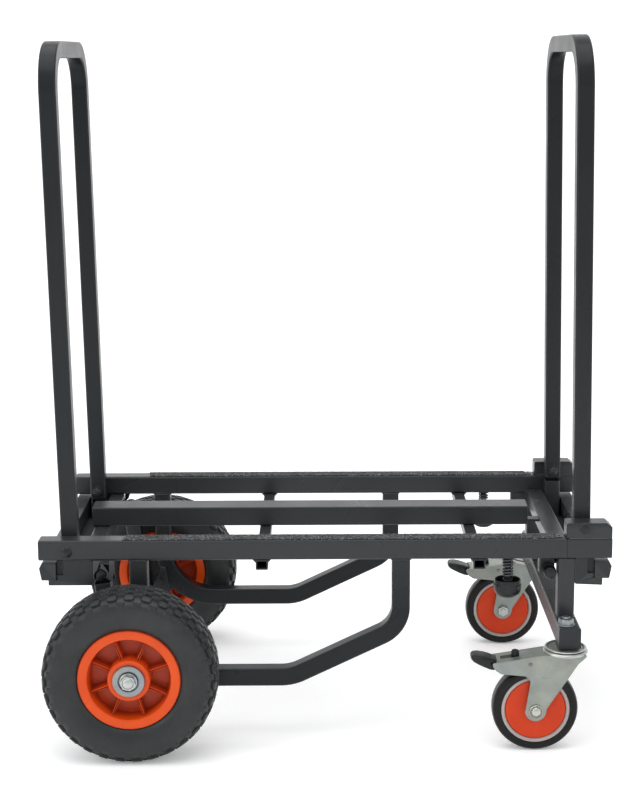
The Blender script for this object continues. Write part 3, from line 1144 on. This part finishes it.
place_pair("caster_fork", unite(fork_sides(), fork_top()), ZINC_FORK, "caster_swivel",
           replaces="caster_fork", sharp=34)
RIVET = [(0, 1.5), (1.5, 1.4), (2.6, 0.9), (3.1, 0.0), (3.1, -0.5), (0, -0.5)]
rivets = [lathe([(radius, side * y) for radius, y in RIVET],
                (297.0, CASTER_Y + side * 21.1, 134.6), 'Y', 24) for side in (-1, 1)]
place_pair("caster_rivet", join(*rivets), ZINC_DARK, "caster_swivel")

# ============================================================ caster wheel
CASTER_TYRE = [(50.2, -14.2), (52.0, -15.0), (56.0, -15.4), (59.6, -14.6), (61.6, -12.4),
               (62.6, -9.0), (63.0, -4.5)]
place_pair("caster_tyre", lathe(both_sides(CASTER_TYRE), CASTER_WHEEL, 'Y', 128, closed=True),
           CASTER_RUBBER, "caster_wheel", "caster_tyre", sharp=50)
CASTER_CORE = [(44.8, -13.6), (45.6, -15.0), (46.8, -15.9), (48.6, -15.9), (49.8, -15.0)]
place_pair("caster_core", lathe(both_sides(CASTER_CORE), CASTER_WHEEL, 'Y', 96, closed=True),
           CORE, "caster_wheel", "caster_core")
CASTER_DISC = [(6.6, -16.6), (13.0, -16.6), (14.6, -16.0), (15.6, -14.4), (18.0, -13.7),
               (36.0, -13.2), (39.0, -13.6), (41.4, -14.2), (43.6, -14.0), (44.4, -12.8)]
place_pair("caster_disc", lathe(both_sides(CASTER_DISC), CASTER_WHEEL, 'Y', 96, closed=True),
           CASTER_ORANGE, "caster_wheel", "caster_disc")
caster_bolt = join(lathe([(0, -28.0), (3.2, -27.8), (5.4, -27.0), (6.6, -25.8), (7.0, -24.4),
                          (9.2, -24.0), (9.8, -23.4), (9.8, -22.0), (9.4, -21.6), (6.0, -21.5),
                          (6.0, 21.5), (0, 21.5)], CASTER_WHEEL, 'Y', 48),
                   hexagon(CASTER_WHEEL, 'Y', flats=15.5, start=21.6, end=28.0, bore=4.0,
                           chamfer=1.2, both_ends=True),
                   lathe([(0, 31.0), (4.4, 30.8), (5.2, 29.8), (5.2, 26.0), (0, 26.0)],
                         CASTER_WHEEL, 'Y', 24))
place_pair("caster_bolt", caster_bolt, ZINC, "caster_swivel", replaces="caster_bolt")
# raised ring round the bolt head
BOLT_RING = [(7.2, -24.2), (7.8, -24.9), (8.6, -24.9), (9.0, -24.2)]
place_pair("caster_bolt_ring", lathe(BOLT_RING, CASTER_WHEEL, 'Y', 48, closed=True), ZINC_DARK,
           "caster_swivel")

# ============================================================ brake lever, button and toe pad
LEVER = [(304, 138.6, 1), (304, 141.3, 1), (276, 136.9, 4), (262, 134.3, 4), (250, 131.4, 4),
         (238, 130.6, 1), (236, 127.6, 1), (250, 128.0, 4), (276, 133.6, 4)]
place_pair("brake_lever",
           side_plate(rounded(LEVER, 3), CASTER_Y - 7.2, CASTER_Y + 7.2, 0.8), ZINC_DARK,
           "brake", replaces="brake_lever")
BUTTON = [(0, 150.4), (3.0, 150.2), (4.8, 149.3), (5.6, 147.6), (5.8, 144.0), (5.8, 135.6),
          (0, 135.6)]
place_pair("brake_button", lathe(BUTTON, (276.5, CASTER_Y, 0), 'Z', 40), PLASTIC, "brake")
# sections of the toe pad: x, half width, bottom z, top z
TOE_STATIONS = [(247.6, 10.6, 122.2, 136.6), (245.0, 14.4, 121.8, 138.8),
                (239.0, 16.4, 123.2, 141.2), (230.0, 17.2, 127.2, 143.6),
                (221.5, 16.6, 131.4, 145.0), (215.2, 13.8, 134.6, 145.0),
                (212.2, 9.8, 137.2, 144.0), (211.2, 5.0, 138.9, 142.8)]


def toe_pad(around=28, squareness=0.45):
    """Rounded pad of squared oval sections."""
    def squared(value):
        return copysign(abs(value) ** squareness, value)

    angles = [2 * pi * k / around for k in range(around)]
    sections = [[(x, CASTER_Y + half_width * squared(cos(angle)),
                  (bottom + top) / 2 + (top - bottom) / 2 * squared(sin(angle)))
                 for angle in angles] for x, half_width, bottom, top in TOE_STATIONS]
    verts, rings = stack(sections)
    return verts, bridge(rings) + [rings[0], rings[-1]]


place_pair("brake_pad", toe_pad(), PLASTIC, "brake", replaces="brake_pad", sharp=50)


# ============================================================ handles
def handle(pivot, length, tilt):
    """Upright hoop across the cart, turned about its pivot by tilt degrees."""
    x, z = pivot
    half = 12.5
    top, foot = z + length - half, z - 13
    path = fillet_path([(x, -160, foot), (x, -160, top), (x, 160, top), (x, 160, foot)],
                       [62, 62], 26)
    verts, faces = tube(path, X_AXIS, half=(half, half), corner=3.2, steps=5)
    origin = Vector((x, 0, z))
    turn = Matrix.Rotation(radians(tilt), 3, 'Y')
    return [tuple(turn @ (Vector(vert) - origin) + origin) for vert in verts], faces


place("handle_rear", handle(REAR_PIVOT, length=734.0, tilt=-1.1), PAINT_TUBE, "rear_handle",
      replaces="handle_rear")
place("handle_front", handle(FRONT_PIVOT, length=709.0, tilt=-0.8), PAINT_TUBE, "front_handle",
      replaces="handle_front")


# ============================================================ stage
def paper():
    look = Shader("stage_paper")
    drift = look.noise(scale=1.6, detail=3.0, span=(0.3, 0.7))
    colour = look.mix((0.955, 0.955, 0.955), (0.965, 0.965, 0.965), drift)
    look.bump(look.noise(scale=260.0, detail=3.0), strength=0.03, distance=0.0004)
    sheen = look.noise(scale=3.0, span=(0.3, 0.7), to=(0.75, 0.9))
    look.surface.inputs["Emission Color"].default_value = (1.0, 1.0, 1.0, 1.0)
    look.surface.inputs["Emission Strength"].default_value = 0.19
    return look.finish(colour, sheen, specular=0.2)


def sweep():
    """Seamless pale ground that curves up into a wall behind the cart."""
    bend_y, radius = 2200, 1800
    profile = [(-6000, 0)]
    profile += [(bend_y + radius * sin(radians(angle)), radius - radius * cos(radians(angle)))
                for angle in range(0, 91, 9)]
    profile += [(bend_y + radius, 7000)]
    columns = np.linspace(-7000, 7000, 9)
    verts = [(x, y, z) for y, z in profile for x in columns]
    size = len(columns)
    faces = [(i * size + k, i * size + k + 1, (i + 1) * size + k + 1, (i + 1) * size + k)
             for i in range(len(profile) - 1) for k in range(size - 1)]
    mesh = bpy.data.meshes.new("stage_sweep")
    mesh.from_pydata((np.array(verts) * MM).tolist(), [], faces)
    mesh.polygons.foreach_set("use_smooth", [True] * len(mesh.polygons))
    mesh.materials.append(paper())
    ground = bpy.data.objects.new("stage_sweep", mesh)
    bpy.context.scene.collection.objects.link(ground)


sweep()


def softbox(name, location, target, size, power, colour):
    """Rectangular light aimed at target; metres and watts."""
    light = bpy.data.lights.new(name, 'AREA')
    light.shape, light.size, light.size_y = 'RECTANGLE', size[0], size[1]
    light.energy, light.color = power, colour
    holder = bpy.data.objects.new(name, light)
    bpy.context.scene.collection.objects.link(holder)
    holder.location = location
    aim = Vector(target) - Vector(location)
    holder.rotation_euler = aim.to_track_quat('-Z', 'Y').to_euler()


softbox("key_top", location=(-0.3, -0.4, 3.4), target=(0, 0, 0.3), size=(3.4, 3.0), power=58,
        colour=(1.0, 1.0, 1.0))
softbox("left", location=(-2.8, -1.4, 1.7), target=(0, 0, 0.4), size=(1.8, 2.2), power=25,
        colour=(0.97, 0.985, 1.0))
softbox("right", location=(3.0, -1.6, 1.5), target=(0, 0, 0.4), size=(1.4, 2.0), power=11,
        colour=(1.0, 0.99, 0.97))

scene = bpy.context.scene
world = bpy.data.worlds.new("studio")
scene.world = world
world.use_nodes = True
background = world.node_tree.nodes["Background"]
background.inputs["Color"].default_value = (0.985, 0.99, 1.0, 1.0)
background.inputs["Strength"].default_value = 0.78
scene.view_settings.view_transform = 'Standard'
scene.view_settings.look = 'None'
scene.view_settings.exposure = 0.0


def add_camera(location, pitch, yaw, roll):
    """Camera looking along +Y from location (mm); pitch down, yaw to +X and roll in radians."""
    forward = Vector((sin(yaw) * cos(pitch), cos(yaw) * cos(pitch), -sin(pitch)))
    level = Vector((cos(yaw), -sin(yaw), 0.0))
    upright = level.cross(forward)
    right = level * cos(roll) + upright * sin(roll)
    up = upright * cos(roll) - level * sin(roll)
    camera = bpy.data.cameras.new("camera")
    camera.lens, camera.sensor_width = 75.87, 36.0
    camera.shift_x, camera.shift_y = -0.0257, -0.0535
    camera.clip_start, camera.clip_end = 0.05, 50.0
    holder = bpy.data.objects.new("camera", camera)
    scene.collection.objects.link(holder)
    matrix = Matrix((right, up, -forward)).transposed().to_4x4()
    matrix.translation = Vector(location) * MM
    holder.matrix_world = matrix
    scene.camera = holder


add_camera(location=(-3.48, -2577.19, 1003.82), pitch=0.1765, yaw=0.0075, roll=-0.0021)
